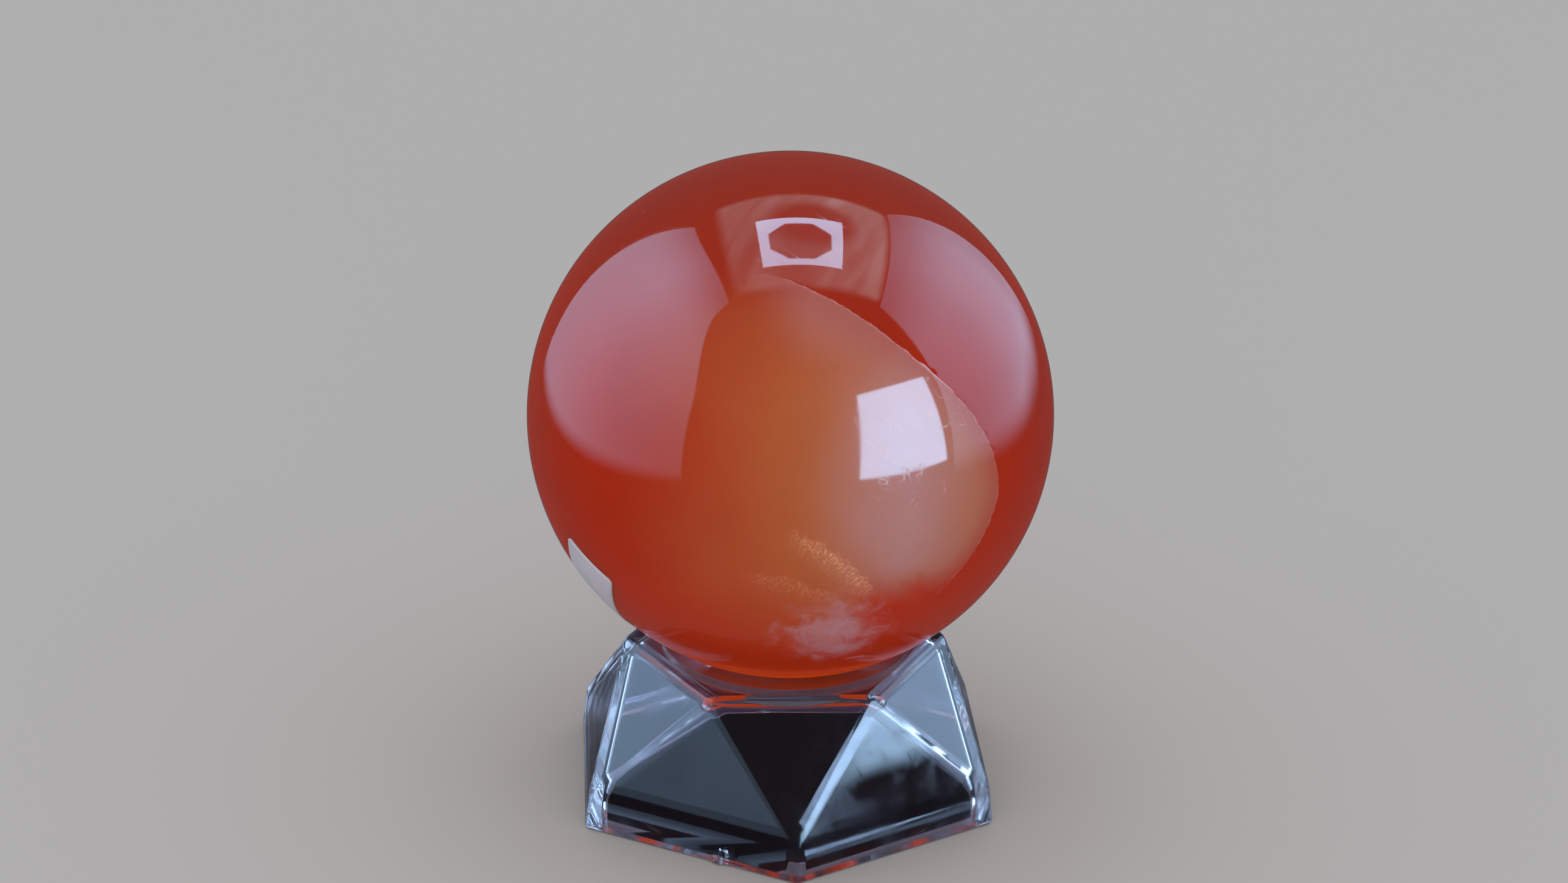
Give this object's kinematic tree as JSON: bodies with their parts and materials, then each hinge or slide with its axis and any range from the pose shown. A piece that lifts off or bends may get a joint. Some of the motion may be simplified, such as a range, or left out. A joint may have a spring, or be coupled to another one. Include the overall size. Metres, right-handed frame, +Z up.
{
  "type": "stone sphere on a clear stand",
  "caption": "Polished translucent orange-red stone sphere that rests loose in the dished seat of a clear faceted hexagonal stand, with a blank paper label.",
  "frame": {"origin": "centre of the stand's footprint, on the surface that it stands on", "axes": "+Z up through the sphere's centre; -Y is the front, where one corner of the stand's hexagon points and where the sphere's fracture faces; +X is to the right seen from the front"},
  "size_m": [0.05, 0.05, 0.0632],
  "materials": {
    "acrylic": "clear, polished, moulded",
    "stone": "polished, translucent",
    "paper": "uncoated"
  },
  "bodies": {
    "stand": {"clear_stand": "acrylic"},
    "sphere": {"stone_sphere": "stone", "price_label": "paper"}
  },
  "joints": [
    {"name": "sphere_lift", "type": "slide", "parent": "stand", "child": "sphere", "axis": [0, 0, 1], "range_m": [0, 0.02]}
  ]
}
